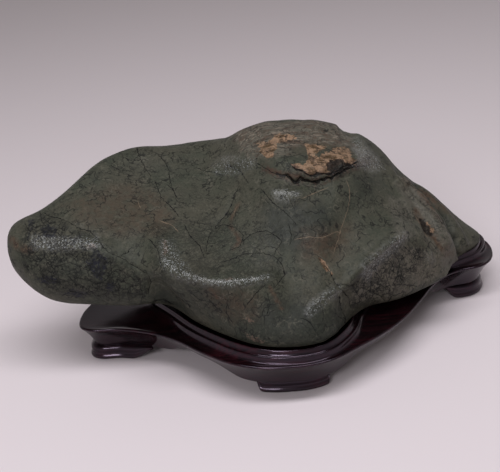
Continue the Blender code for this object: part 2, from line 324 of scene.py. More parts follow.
# %% Ridges and grooves
# the pale outer edge of the right flank, and the valley inside it
FLANK_EDGE = ((398, 180), (410, 187), (424, 201), (436, 221), (444, 235), (450, 245), (454, 259),
              (453, 267), (447, 276))
FLANK_VALLEY = ((414, 185), (426, 194), (440, 211), (449, 224), (454, 238), (457, 254))
# each: (push in mm, half-width in board steps, path)
RIDGES = (
    # the brow of the head, between its flat top and its steep face
    (1.5, 15, ((22, 244), (40, 244), (60, 245), (82, 246), (104, 250))),
    # belly ridge, from its bend at the left to the middle
    (0.6, 13, ((164, 240), (168, 256), (175, 266), (188, 275))),
    (0.7, 8, ((182, 275), (190, 279), (206, 282), (222, 284), (240, 282), (258, 279), (274, 277))),
    # the swelling at the right of the belly
    (0.5, 7, ((305, 312), (318, 301), (330, 294), (340, 286))),
    # upper edge of the cracked facet
    (1.2, 6, ((343, 288), (356, 274), (369, 262), (386, 247), (402, 235))),
    # down the right: the inner edge of a band, its pale outer edge, and a rib behind it
    (1.0, 5, ((386, 178), (394, 183), (402, 195), (412, 213), (418, 225), (421, 237), (428, 249),
              (431, 259), (428, 267))),
    (2.8, 6, FLANK_EDGE),
    (0.9, 4, ((421, 189), (433, 199), (447, 213), (458, 228), (466, 244))),
    # the shoulder at the left of the cap and the swelling under the crevice
    (0.6, 8, ((214, 166), (228, 162), (248, 163))),
    (0.7, 9, ((274, 193), (286, 194.5), (299, 193))),
)
GROOVES = (
    (-0.7, 9, ((38, 227), (56, 226), (78, 231), (94, 238))),
    (-1.0, 4, ((406, 190), (418, 208), (427, 222), (436, 238), (442, 252))),
    (-3.2, 5, FLANK_VALLEY),
    (-0.6, 3, ((433, 195), (447, 207), (458, 220), (468, 236))),
    # slow dips in the middle of the stone
    (-0.5, 9, ((237, 189), (231, 210), (216, 226), (207, 250))),
    (-0.4, 7, ((283, 213), (307, 199), (328, 188))),
)
# the two corners of the cap on the skyline, moved on both sides of the crest
CAP_CORNERS = (
    (1.0, 16, ((243, 130), (251, 125), (263, 123))),
    (1.2, 12, ((314, 123), (332, 124))),
    (-2.0, 8, ((344, 127), (351, 132))),
)
print(len(RIDGES), "ridges,", len(GROOVES), "grooves and", len(CAP_CORNERS), "corners")

# %% Strokes
def soft_crest(share):
    """Round across the stroke, as a worn ridge is."""
    return (1 - share ** 2) ** 2


def sharp_crest(share):
    """Pointed across the stroke, as a crack is."""
    return (1 - share) ** 2 * (1 + share)


def stroke(push, width, path, crest, spots):
    """How far a drawn stroke moves each point of the stone."""
    share = np.clip(beside(path, spots)[0] / width, 0, 1)
    return outward * (push * MM * crest(share) * front)[:, None]


def front_share(places, normals):
    """1 where the stone looks at the viewer, fading to 0 as it turns away."""
    return np.clip(facing(places, normals) * 4, 0, 1)


CAP_LOW = 100 * MM
# the cap is worn flat: what stands above this height loses most of its excess
TOP, WORN = 127.4 * MM, 0.8
rows = rows_of(stone.data.vertices, "co")
outward = rows_of(stone.data.vertex_normals, "vector")
board = on_board(rows)
front = front_share(rows, outward)
for push, width, path in RIDGES + GROOVES:
    rows += stroke(push, width, path, soft_crest, board)
front = (rows[:, 2] > CAP_LOW).astype(float)
for push, width, path in CAP_CORNERS:
    rows += stroke(push, width, path, soft_crest, board)
front = front_share(rows, outward)
rows[:, 2] -= np.maximum(rows[:, 2] - TOP, 0) * WORN
place_points(stone, rows)
print("top at", round(rows[:, 2].max() / MM, 2), "mm")

# %% The crevice and the cracks that open the surface
CREVICE = ((258, 164), (265, 168), (271, 172), (277, 174.5), (287, 175.5), (291, 178.5), (296, 182),
           (300, 177.5), (307, 181), (316, 181.5), (323, 180), (330, 177.5), (338, 174.5),
           (348, 169.5), (356, 166.5), (366, 166))
UPPER_CREVICE = ((293, 167), (301, 170), (308, 175), (316, 174.5), (322, 173.5), (330, 174),
                 (338, 171), (347, 166), (357, 162))
# each: (push in mm, half-width in board steps, path)
OPEN_CRACKS = (
    (-0.3, 2.2, CREVICE),
    (-1.3, 2.4, CREVICE[4:-2]),
    (-1.2, 1.9, UPPER_CREVICE),
    # shoulder crack
    (-0.5, 2.0, ((227, 165), (235, 169), (242, 173), (247, 182))),
    # the long crack over the head
    (-0.5, 1.8, ((44, 213), (50, 216), (63, 219), (72, 223.5), (80, 227.5), (90, 231), (93.5, 234),
                 (98.5, 240), (103.5, 248.5), (110, 253.5), (120, 257), (128.5, 262.5),
                 (138, 268.5), (148, 275), (151, 282), (148.5, 293))),
    # from the ochre fleck down into the notch
    (-0.9, 2.2, ((326, 266), (332, 276), (336, 284), (343, 291.5), (349, 298), (351, 307))),
    (-0.8, 2.2, ((340, 296), (341, 308), (346, 318), (346, 326))),
    # across the cracked facet
    (-0.7, 2.0, ((336, 284), (348.5, 285), (356, 286), (363, 288.5), (371.5, 291.5), (380, 296),
                 (385, 301))),
    (-0.4, 1.6, ((376, 283), (384, 287), (399, 284.5), (415, 286))),
    # the pinch under the head
    (-1.4, 4.0, ((156, 302), (165, 302), (173, 306))),
    (-0.5, 1.8, ((170, 290), (175, 295), (182, 300), (190, 307))),
    (-0.25, 1.6, ((237.5, 188), (233, 195), (232, 202), (225, 215), (218, 223), (211.5, 231),
                  (207.5, 240), (206, 251))),
    (-0.25, 1.5, ((159, 155), (165, 162), (169, 171), (170, 180), (173, 190), (177.5, 198))),
    (-0.25, 1.5, ((137.5, 149), (138.5, 155), (141, 160), (145, 167), (147, 171), (150, 175))),
)
print(len(OPEN_CRACKS), "open cracks")

# %% Carving the ledge and the cracks
LEDGE_MM, LEDGE_REACH, LEDGE = 0.7, 9, CREVICE[2:-2]
gap, side = beside(LEDGE, board)
lean = np.clip(gap / LEDGE_REACH, 0, 1)
rows += outward * (-side * LEDGE_MM * MM * lean * soft_crest(lean) * 2 * front)[:, None]


def rough(places, size_mm, seed=0.0):
    """Smooth noise from -1 to 1 with lumps of a size in millimetres."""
    shift = Vector((seed, 0, 0))
    return np.array([noise.noise(Vector(p) / (size_mm * MM) + shift) for p in places])


jagged = board + np.stack((rough(rows, 5, 7.0), rough(rows, 3, 3.0) * 2.4), axis=1)
for push, width, path in OPEN_CRACKS:
    rows += stroke(push, width, path, sharp_crest, jagged)
place_points(stone, rows)
print("cracks stray from their lines by up to", abs(jagged - board).max().round(1), "steps")

# %% [markdown]
# ## Patches
# Where the stone weathers differently it changes colour and relief together: soft ochre patches
# that have rotted into pits, a dull purple-black stain, brown streaks along old veins, and zones
# where the skin is crazed all over. Each kind of patch becomes a number from 0 to 1 at every point
# of the mesh, kept as an attribute that both the sculpting and the shader read.

# %% Outlines: ochre, its rotten holes and the layered cap
OCHRE = (
    ((256, 143.5), (263, 143), (271, 140), (274, 135.5), (283, 133.5), (295, 135.5), (296, 138.5),
     (286, 141), (277, 143.5), (276, 149), (272, 156.5), (267, 158), (263, 154), (258.5, 152),
     (261, 148)),
    ((305, 144.5), (314, 144.5), (327, 146), (322, 150), (314, 154), (318, 157), (326, 153),
     (333, 149), (340, 147), (347, 148), (350, 152), (351, 157), (356, 160), (357, 164), (350, 166),
     (343, 163), (338, 166), (334, 170), (322, 174), (308, 174), (302, 169), (295, 168),
     (291, 164.5), (297, 163), (304, 165), (309, 160), (308, 152)),
    ((318, 259), (323, 260), (328, 267), (332, 275), (327, 270), (321, 264)),
    ((425, 220), (428, 222), (434, 232), (431, 232)),
)
ROTTEN = (
    ((326, 163), (331, 159), (338, 158), (344, 160), (345, 165), (339, 169), (332, 172),
     (327, 170)),
    ((344, 163), (352, 163), (354, 167), (346, 170), (340, 172)),
    ((419, 219), (424, 218), (431, 229), (434, 236), (429, 236), (422, 228)),
)
LAYERED = (
    ((231, 140), (238, 131), (249, 122), (290, 119), (335, 121), (346, 131), (356, 138), (352, 147),
     (340, 146), (325, 143), (305, 142), (297, 148), (284, 156), (256, 158), (240, 150)),
)
print(len(OCHRE), "ochre patches and", len(ROTTEN), "rotten holes")

# %% Outlines: the purple stain, pink flecks and brown streaks
STAIN = (
    ((86, 262), (90, 256), (96, 252), (104, 254), (107, 262), (105, 272), (102, 280), (94, 277),
     (90, 268)),
    ((40, 228), (48, 224), (56, 228), (55, 238), (44, 238)),
    ((28, 221), (33, 220), (34, 230), (29, 229)),
    ((106, 284), (115, 282), (114, 292), (107, 292)),
    ((36, 279), (46, 276), (58, 278), (58, 283), (42, 284)),
    ((63, 294), (74, 289), (87, 293), (85, 298), (72, 295)),
)
PINK = (
    ((87, 245), (92, 243.5), (97, 246), (95, 249), (88, 248.5)),
    ((163, 240), (166, 241), (168, 250), (166, 258), (163, 256)),
    ((243, 318), (250, 318), (255, 321), (248, 323)),
    ((244, 331), (250, 335), (262, 339), (266, 343), (256, 343), (248, 338)),
    ((224, 279.5), (232, 276.5), (234, 280), (227, 282)),
)
# streaks: (half-width in board steps, path)
BROWN = (
    (2.4, ((238, 204), (232, 217), (230, 226), (237, 235), (240, 242), (233, 248))),
    (1.8, ((242, 292), (244, 303), (245, 315), (250, 320))),
    (2.6, ((270, 287), (275, 298), (282, 308))),
    (2.6, ((211, 289), (217, 298))),
    (3, ((270, 170), (277, 173), (284, 174), (292, 175), (300, 176))),
    (4, ((402, 180), (417, 192), (429, 208), (440, 222))),
    (3, ((421, 188), (438, 202), (455, 218))),
    (5, ((416, 212), (425, 226), (436, 240), (446, 254))),
    (5, ((12, 240), (20, 247), (30, 251))),
)
# fields: (strength, outline)
BROWN_FIELDS = (
    (0.5, ((68, 205), (90, 190), (130, 184), (160, 196), (172, 214), (168, 232), (130, 238),
           (84, 226))),
    (0.2, ((345, 300), (352, 288), (372, 262), (404, 240), (432, 246), (450, 262), (440, 280),
           (388, 304), (350, 322))),
    (0.6, ((236, 130), (260, 121), (330, 121), (345, 131), (350, 150), (300, 150), (262, 146),
           (240, 142))),
    (0.5, ((210, 290), (240, 290), (262, 300), (258, 318), (232, 320), (214, 306))),
    (0.6, ((300, 232), (348, 226), (350, 250), (330, 262), (300, 256))),
)
print(len(STAIN), "stains,", len(PINK), "flecks and", len(BROWN), "streaks")

# %% Outlines: painted shade, paler skin with painted light, crazing and glints
# painted shade, a dark green-grey: the hollow in the middle, a shadowy vein right of the cap, the
# head's foot, the lower belly and the pinch under the head
PAINTED_SHADE = (
    (0.9, ((262, 204), (300, 202), (334, 208), (334, 250), (300, 256), (268, 236))),
    (0.7, ((352, 182), (364, 174), (378, 178), (372, 196), (356, 204))),
    (0.5, ((30, 270), (60, 262), (110, 276), (140, 300), (60, 300))),
    (0.8, ((190, 294), (240, 298), (300, 300), (352, 316), (352, 342), (300, 352), (240, 345))),
    (0.6, ((280, 222), (290, 214), (318, 222), (312, 248), (290, 250))),
    (1.0, ((150, 296), (162, 290), (182, 298), (200, 312), (184, 316), (158, 308))),
)
# paler skin and painted light: the band down the right flank, lit where it faces the lamp, and
# glinting granular spots beside the cap; the cracked facet and a rib beside the flank are also made
# lighter
PALE_AND_LIT = (
    (0.9, ((394, 184), (408, 188), (424, 202), (436, 221), (450, 246), (454, 262), (446, 276),
           (434, 268), (430, 250), (420, 234), (412, 212), (402, 196))),
    (0.6, ((352, 146), (362, 142), (374, 154), (384, 168), (370, 170), (360, 166))),
    (0.9, ((350, 302), (358, 284), (376, 266), (404, 246), (430, 252), (442, 276), (388, 302))),
    (0.7, ((388, 196), (408, 200), (418, 236), (396, 240))),
)
# skin with a net of fine cracks
CRAZED = (
    (0.8, ((346, 288), (356, 272), (372, 258), (400, 240), (424, 246), (430, 258), (413, 280),
           (387, 303), (352, 312))),
    (0.85, ((20, 225), (44, 212), (96, 236), (108, 254), (150, 280), (150, 300), (100, 300),
            (50, 292), (22, 272))),
    (0.5, ((150, 225), (205, 215), (286, 230), (286, 284), (190, 292), (150, 300))),
    (0.45, ((310, 285), (345, 285), (348, 330), (300, 345), (250, 345), (240, 300))),
    (0.2, ((110, 150), (180, 146), (190, 200), (180, 240), (110, 240), (80, 200))),
)
# worn skin that sparkles: glossier, with finer relief, and with painted glints in its colour
GLINTING = (
    (1.0, ((350, 139), (358, 137), (367, 147), (378, 158), (386, 170), (374, 173), (362, 168),
           (352, 166), (357, 160))),
    (0.9, ((360, 276), (362, 264), (376, 254), (390, 240), (404, 230), (410, 236), (398, 250),
           (380, 264), (368, 280))),
    (0.9, ((30, 234), (50, 238), (80, 236), (98, 236), (102, 246), (92, 250), (60, 251),
           (32, 250))),
    (0.8, ((210, 166), (224, 156), (254, 157), (256, 167), (236, 176), (216, 174))),
    (0.9, ((161, 240), (172, 240), (181, 257), (194, 273), (215, 279), (270, 274), (270, 281),
           (236, 288), (206, 285), (176, 279), (161, 266))),
    (0.8, ((303, 313), (314, 300), (336, 284), (343, 290), (330, 303), (310, 318))),
    (0.7, ((425, 252), (430, 250), (434, 260), (428, 264))),
    (0.65, ((271, 191), (286, 185), (301, 189), (300, 198), (286, 203), (273, 199))),
)
print(len(PAINTED_SHADE + PALE_AND_LIT), "fields,", len(CRAZED), "crazed and", len(GLINTING), "glinting")

# %% From outlines to numbers
WOBBLE = np.stack((rough(rows, 6, 11.0), rough(rows, 6, 17.0)), axis=1) * 3
FRAY = np.stack((rough(rows, 1.6, 23.0), rough(rows, 1.6, 29.0)), axis=1) * 1.6


def patch(outline, edge, spots):
    """1 inside an outline, 0 outside it, with an edge of a given softness."""
    gap, _ = beside(outline + outline[:1], spots)
    depth = np.where(inside(outline, spots), gap, -gap)
    return np.clip(depth / edge + 0.5, 0, 1)


def patches(outlines, edge, spots):
    """The strongest of several patches."""
    return np.max([patch(outline, edge, spots) for outline in outlines], axis=0) * front


def fields(weighted, edge, spots):
    """The strongest of several patches, each with its own strength."""
    return np.max([w * patch(outline, edge, spots) for w, outline in weighted], axis=0) * front


def streaks(paths, spots):
    """1 along drawn paths of given half-widths, fading out beside them."""
    return np.max([np.clip(1.2 - beside(path, spots)[0] / width, 0, 1)
                   for width, path in paths], axis=0) * front


def keep(name, values):
    """Store a number for every point of the stone."""
    layer = stone.data.attributes.new(name, "FLOAT", "POINT")
    layer.data.foreach_set("value", values.astype(np.float32))
    return values


frayed = board + FRAY + WOBBLE * 0.3
loose = board + FRAY + WOBBLE * 2
ochre = keep("ochre", patches(OCHRE, 3, frayed))
rotten = keep("rotten", patches(ROTTEN, 2, frayed))
keep("stain", patches(STAIN, 4, frayed))
keep("pink", patches(PINK, 3, frayed))
layered = keep("layered", patches(LAYERED, 6, loose))
keep("brown", np.maximum(streaks(BROWN, frayed), fields(BROWN_FIELDS, 16, loose)))
# painted shade: the fields above, and a band along the flank valley
keep("painted_shade", np.maximum(fields(PAINTED_SHADE, 14, loose), streaks(((3, FLANK_VALLEY),), frayed)))
# painted highlight: a pale line along the crest of the flank edge, stored with the paler fields
lit_flank_crest = 1.6 * streaks(((1.6, FLANK_EDGE),), frayed)
keep("pale", np.maximum(fields(PALE_AND_LIT, 5, frayed), lit_flank_crest))
crazed = keep("crazed", fields(CRAZED, 14, loose))
glinting = keep("glinting", fields(GLINTING, 7, frayed))
# painted shade: a near-black band inside the crevice, stored together with the dark rotten holes
dirt = streaks(((1.9, CREVICE[3:-2]), (1.5, UPPER_CREVICE)), jagged)
keep("crevice_shade_and_dark_pits", np.maximum(dirt, rotten))
keep("dirty_edge", streaks(((5, CREVICE[1:-1]), (3.5, UPPER_CREVICE)), frayed))
print("points under ochre:", int((ochre > 0.5).sum()))

# %% Relief that goes with the patches
height = 0.12 * rough(rows, 7, 1.0) + 0.06 * rough(rows, 3.2, 2.0)
height += glinting * (0.2 * rough(rows, 2.4, 4.0) + 0.16 * rough(rows, 1.3, 5.0))
height += crazed * 0.16 * rough(rows, 2.4, 6.0)
height += layered * 0.12 * rough(rows * (0.3, 1, 1), 1.6, 12.0)
height += ochre * (0.18 * rough(rows, 3, 8.0) + 0.07 * rough(rows, 1.5, 9.0) - 0.2)
height -= rotten * (1.1 + 0.8 * rough(rows, 2.2, 10.0))
# the relief fades out above the seat, so that the stone still fits into it
SEAT_TOP, FADE = 34 * MM, 10 * MM
clear = np.clip((rows[:, 2] - SEAT_TOP) / FADE, 0, 1)
rows += outward * (height * MM * clear)[:, None]
place_points(stone, rows)
print("relief from", height.min().round(2), "to", height.max().round(2), "mm")

# %% [markdown]
# ## Drawn cracks and veins
# Hair cracks and pale veins are thinner than the mesh can carve. Each point stores how far it is
# from the nearest drawn line, once with a sign for the side it lies on and once without. The
# signed number passes through zero exactly on the line, so the shader can draw it about half a
# millimetre wide, and the plain number keeps it from drawing anything where two lines only change
# places.

# %% The lines
CRACKS = (
    CREVICE,
    UPPER_CREVICE,
    *[path for push, width, path in OPEN_CRACKS[2:]],
    ((122, 255), (128, 252), (131, 248)),
    ((125, 158), (131, 160), (138, 160)),
    ((155, 182), (162, 198), (172, 208), (178, 215)),
    ((167.5, 185), (173, 190), (177.5, 198)),
    ((40, 213), (42, 222), (48, 228), (47, 236)),
    ((25, 224), (30, 232), (28, 240), (36, 247)),
    ((60, 222), (58, 233), (66, 240), (64, 250), (74, 256)),
    ((76, 226), (80, 236), (74, 244)),
    ((26, 256), (38, 262), (44, 258), (56, 266), (70, 262), (84, 268), (92, 264)),
    ((46, 270), (58, 276), (70, 274), (82, 279), (98, 283)),
    ((62, 296), (70, 291), (78, 292), (86, 296)),
    ((88, 288), (96, 296), (104, 294), (112, 300)),
    ((97, 284), (106, 280), (112, 272), (110, 262)),
    ((118, 290), (120, 300)),
    ((128, 292), (129, 302)),
    ((140, 284), (143, 296), (140, 304)),
    ((185, 226), (190, 236), (200, 246), (204, 256)),
    ((212, 230), (222, 224), (236, 228), (244, 236), (240, 246), (231, 250)),
    ((243, 242), (248, 236), (257, 232), (268, 231), (276, 236), (282, 242), (276, 250), (274, 256),
     (282, 264), (285, 275), (278, 283)),
    ((263, 191), (273, 203), (285, 212), (296, 224)),
    ((289, 226), (292, 236), (290, 244)),
    ((222, 262), (232, 259), (244, 254), (262, 253), (272, 256)),
    ((265, 285), (258, 292), (248, 303)),
    ((268, 294), (270, 304), (267, 314)),
    ((335, 313), (343, 320), (347, 327)),
    ((322, 306), (324, 318), (318, 328)),
    ((300, 318), (310, 322), (316, 332)),
    ((355, 291), (362, 300), (360, 308)),
    ((372, 268), (379, 276), (378, 285)),
    ((392, 252), (400, 262), (398, 274), (393, 284)),
    ((404, 246), (412, 254), (424, 258)),
    ((386, 305), (392, 296), (404, 292)),
    ((196, 168), (206, 171), (214, 172), (222, 175)),
    ((112, 166), (120, 170), (131, 171)),
    ((150, 240), (158, 250), (160, 262), (166, 272)),
    ((120, 276), (126, 283), (136, 286)),
    ((190, 292), (200, 300), (212, 303), (220, 312)),
    ((228, 300), (226, 312), (232, 322)),
)
VEINS = (
    ((347, 182), (349, 188), (350, 198), (347.5, 210), (343, 223), (338, 240), (334, 252)),
    ((338, 231), (327, 236), (321, 238), (310, 237), (296, 239)),
    ((160, 221), (172, 225), (178, 231)),
    ((303, 198), (328, 187)),
    ((138, 202), (140, 207)),
    ((236, 207), (234, 213)),
    ((427, 237), (422, 229), (415, 218)),
)
print(len(CRACKS), "cracks and", len(VEINS), "veins")

# %% Storing the lines
NO_LINE = 1e3


def drawn_lines(name, paths, spots):
    """The two numbers that let the shader draw thin lines, in millimetres."""
    near = np.full(len(spots), FAR)
    signed = near.copy()
    for path in paths:
        gap, side = beside(path, spots)
        closer = gap < near
        near[closer] = gap[closer]
        signed[closer] = (gap * side)[closer]
    keep(name + "_near", np.where(front > 0.2, near * STEP_MM, NO_LINE))
    keep(name + "_side", signed * STEP_MM)


drawn_lines("crack", CRACKS, board + FRAY * 0.7)
drawn_lines("vein", VEINS, board + FRAY * 0.4)
print("stored:", [layer.name for layer in stone.data.attributes if layer.name.endswith("_near")])

# %% [markdown]
# ## The stone's material
# The stone is a serpentine rock: green-grey, hard and even, polished by the river and then waxed.
# Its index of refraction is about 1.55, and the wax gives it a satin gloss with broad soft
# highlights. What the eye reads as age is in the colour: mottling of a few millimetres, brown
# zones, cracks that have filled with dark dirt, and ochre where iron has rusted.

# %% Stone: mottled ground colour
serpentine, tree, shader = new_material("waxed serpentine")
place = add_node(tree, "TexCoord").outputs["Object"]
per_mm = 1 / MM


def mottle(size_mm, detail=3.0, rough_share=0.55):
    """Noise whose lumps are about a size in millimetres."""
    return add_node(tree, "TexNoise", {"Vector": place, "Scale": per_mm / size_mm, "Detail": detail,
                                       "Roughness": rough_share}).outputs[0]


def spread(value, low, high, new_low=0.0, new_high=1.0):
    """Stretch a range of a value to a new range, and hold it there."""
    return add_node(tree, "MapRange", {"Value": value, "From Min": low, "From Max": high,
                                       "To Min": new_low, "To Max": new_high}).outputs[0]


def blend(share, under, over, how="MIX"):
    """Lay one colour over another by a share."""
    return add_node(tree, "MixRGB", {"Fac": share, "Color1": under, "Color2": over},
                    blend_type=how).outputs[0]


def number(name):
    """A number stored on the mesh."""
    return add_node(tree, "Attribute", attribute_name=name).outputs["Fac"]


def combine(how, a, b=0.0):
    """One step of arithmetic on two values."""
    return add_node(tree, "Math", {0: a, 1: b}, operation=how).outputs[0]


def torn(name, size_mm, bite=0.5):
    """A stored patch whose edge and inside are torn by noise."""
    uneven = combine("ADD", number(name), spread(mottle(size_mm), 0.3, 0.7, -bite, 0.5))
    return combine("MULTIPLY", spread(uneven, 0.35, 0.65), spread(number(name), 0.0, 0.2))


ground = blend(spread(mottle(28), 0.38, 0.62), linear("#34372D"), linear("#3C3B31"))
ground = blend(spread(mottle(5), 0.42, 0.62, 0, 0.4), ground, linear("#434237"))
ground = blend(spread(mottle(1.4), 0.5, 0.66, 0, 0.5), ground, linear("#22251E"))
ground = blend(spread(mottle(1.0), 0.56, 0.7, 0, 0.3), ground, linear("#56544A"))
# paler skin and painted light: the flank band and its crest, the glints beside the cap, and the
# facet
pale_and_lit_share = combine("MULTIPLY", number("pale"), spread(mottle(1.2), 0.38, 0.6, 0.2, 0.9))
ground = blend(pale_and_lit_share, ground, linear("#555149"))
# painted shade: the ground darkens to green-black in the hollows, under the belly and in the flank
# valley
ground = blend(combine("MULTIPLY", number("painted_shade"), 0.8), ground, linear("#1E221C"))
print("ground colours mixed")

# %% Stone: brown fields, layers on the cap, pink flecks and the purple stain
rusty = combine("MULTIPLY", number("brown"), spread(mottle(4), 0.35, 0.6, 0.3, 0.95))
browned = blend(rusty, ground, linear("#46372B"))
# the layers of the cap, in mm, and how they tilt
LAYER_LONG, LAYER_THICK = 16, 2.4
TILT = (radians(-25), 0, radians(8))
squeeze = (per_mm / LAYER_LONG, per_mm / LAYER_THICK, per_mm / LAYER_THICK)
flat_way = add_node(tree, "Mapping", {"Vector": place, "Rotation": TILT,
                                      "Scale": squeeze}).outputs[0]
layers = add_node(tree, "TexNoise", {"Vector": flat_way, "Scale": 1.0, "Detail": 3.0,
                                     "Distortion": 1.3}).outputs[0]
banded = blend(spread(layers, 0.4, 0.52), linear("#4E4137"), linear("#535249"))
banded = blend(spread(layers, 0.53, 0.66, 0, 0.7), banded, linear("#85776A"))
banded = blend(spread(mottle(1.8), 0.5, 0.62, 0, 0.6), banded, linear("#2E2A24"))
capped = blend(combine("MULTIPLY", number("layered"), 0.75), browned, banded)
flecked = blend(combine("MULTIPLY", torn("pink", 1.0, 0.9), 0.5), capped, linear("#6A574B"))
flowed = combine("MULTIPLY", torn("stain", 1.8), spread(mottle(1.6), 0.4, 0.54, 0.3, 1))
stained = blend(flowed, flecked, linear("#0F111B"))
print("nodes with the stains:", len(tree.nodes))

# %% Stone: ochre, with painted shade in the crevice and its dark rotten holes
iron = blend(spread(mottle(4.5), 0.4, 0.56), linear("#43331F"), linear("#7E6651"))
iron = blend(spread(layers, 0.5, 0.62, 0, 0.6), iron, linear("#8C745E"))
iron = blend(spread(mottle(1.1), 0.54, 0.64, 0, 0.6), iron, linear("#2C2018"))
rusted = blend(torn("ochre", 2.6, 0.3), stained, iron)
grimy = combine("MULTIPLY", number("dirty_edge"), spread(mottle(2.2), 0.42, 0.6, 0.1, 0.9))
edged = blend(grimy, rusted, linear("#3C2A23"))
# painted shade: near-black inside the crevice, and the same near-black in the rotten holes
shaded_crevice_and_pits = blend(combine("MULTIPLY", torn("crevice_shade_and_dark_pits", 1.6), 0.9), edged, linear("#0E0A08"))
print("nodes with the ochre:", len(tree.nodes))

# %% Stone: crazing
# the nets are warped by lumps of 5 mm, so that no cell has straight sides
WARP = 0.007
lumps = {"Vector": place, "Scale": per_mm / 5, "Detail": 3.0}
warped = blend(WARP, place, add_node(tree, "TexNoise", lumps).outputs["Color"], "ADD")


def net(cell_mm, line_mm, coordinates):
    """A net of thin lines between cells of a size, 1 on a line and 0 beside it."""
    gap = add_node(tree, "TexVoronoi", {"Vector": coordinates, "Scale": per_mm / cell_mm},
                   feature="DISTANCE_TO_EDGE").outputs[0]
    return spread(gap, 0.0, line_mm / cell_mm, 1, 0)


def wriggles(size_mm, share):
    """Thin wriggling lines where noise of a size crosses its middle value."""
    off = combine("ABSOLUTE", combine("SUBTRACT", mottle(size_mm, 2.0, 0.5), 0.5))
    return spread(off, 0.25 * share, share, 1, 0)


broken = spread(mottle(9), 0.44, 0.58)
fine_net = combine("MULTIPLY", net(3.6, 0.6, warped), spread(mottle(4.5), 0.38, 0.5))
curls = combine("MULTIPLY", wriggles(4.2, 0.06), spread(mottle(6.5), 0.38, 0.5))
webs = combine("MULTIPLY", combine("MAXIMUM", curls, fine_net), spread(number("crazed"), 0.2, 0.8))
wide_net = combine("MULTIPLY", net(9, 0.8, warped), combine("MULTIPLY", broken, number("crazed")))
hairs = combine("MULTIPLY", wriggles(9, 0.026), spread(mottle(12), 0.42, 0.56, 0, 0.85))
short_hairs = combine("MULTIPLY", wriggles(3.4, 0.06), spread(mottle(8), 0.48, 0.6, 0, 0.7))
nets = combine("MAXIMUM", webs, wide_net)
crazing = combine("MAXIMUM", nets, combine("MAXIMUM", hairs, short_hairs))
pale_hairs = combine("MULTIPLY", wriggles(5.2, 0.04), spread(mottle(8.5), 0.48, 0.62, 0, 0.3))
print("nodes with the crazing:", len(tree.nodes))

# %% Stone: drawn cracks and veins
def drawn(name, width_mm, wander):
    """1 on the lines of a drawn set, whose width wanders between two shares of its full value."""
    across = combine("ABSOLUTE", number(name + "_side"))
    wandering = combine("MULTIPLY", across, spread(mottle(3), 0.35, 0.65, *wander))
    line = spread(wandering, 0.3 * width_mm, width_mm, 1, 0)
    return combine("MULTIPLY", line, spread(number(name + "_near"), 1.2, 2.0, 1, 0))


cracked = drawn("crack", 0.6, (0.7, 3.0))
veined = drawn("vein", 0.42, (0.7, 2.4))
dark_lines = combine("MAXIMUM", cracked, combine("MULTIPLY", crazing, 0.95))
threaded = blend(pale_hairs, shaded_crevice_and_pits, linear("#625E52"))
lined = blend(dark_lines, threaded, linear("#080907"))
colour = blend(combine("MULTIPLY", veined, 0.65), lined, linear("#6E5F4E"))
# painted glints: pale grey specks in the colour where the skin glints
painted_glint_share = spread(number("glinting"), 0.3, 0.9, 0, 0.7)
painted_glints = combine("MULTIPLY", spread(mottle(1.0, 1.0), 0.58, 0.68), painted_glint_share)
colour = blend(painted_glints, colour, linear("#838786"))
tree.links.new(colour, shader.inputs["Base Color"])
print("nodes with the lines:", len(tree.nodes))

# %% Stone: gloss and fine relief
# the grain of the polish is finer than the eye can part from here, so it is drawn at 1 to 2 mm
gloss = spread(mottle(3.5), 0.35, 0.65, 0.52, 0.66)
gloss = spread(number("glinting"), 0, 1, gloss, 0.24)
gloss = spread(number("ochre"), 0, 1, gloss, 0.7)
gloss = combine("MAXIMUM", gloss, combine("MULTIPLY", dark_lines, 0.8))
tree.links.new(gloss, shader.inputs["Roughness"])
shader.inputs["IOR"].default_value = 1.55
worn_wax = combine("MULTIPLY", number("glinting"), spread(mottle(1.5), 0.42, 0.58, 0.25, 1.1))
wax = spread(worn_wax, 0, 0.8, 0.18, 0.6)
tree.links.new(wax, shader.inputs["Specular IOR Level"])
grit = combine("ADD", mottle(1.1, 2.0), mottle(2.2, 2.0))
pitted = combine("MULTIPLY", grit, spread(number("glinting"), 0, 1, 0.7, 2.8))
surface = combine("SUBTRACT", pitted, combine("MULTIPLY", dark_lines, 0.8))
relief = add_node(tree, "Bump", {"Height": surface, "Distance": 0.12 * MM, "Strength": 1.0})
tree.links.new(relief.outputs[0], shader.inputs["Normal"])
print("stone material has", len(tree.nodes), "nodes")

# %% Dressing the stone
stone.data.materials.clear()
stone.data.materials.append(serpentine)
for face in stone.data.polygons:
    face.material_index = 0
alone(stone)
bpy.ops.object.shade_smooth()
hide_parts("stone")
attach(stone, "root")


def triangles_of(ob):
    """How many triangles the faces of a piece make."""
    return sum(len(face.vertices) - 2 for face in ob.data.polygons)


print("stone has", triangles_of(stone), "triangles")

# %% [markdown]
# ## The stand's outlines
# The stand is one block of rosewood. Two outlines drawn from above rule its shape: the rim, which
# swings out in a lobe over each foot, and the seat, which follows the stone. They are drawn with
# the same number of points, matched one to one, so that the wood between them can be laid out
# point by point. Each becomes a smooth closed curve, and the curve becomes a ring of 120 points.

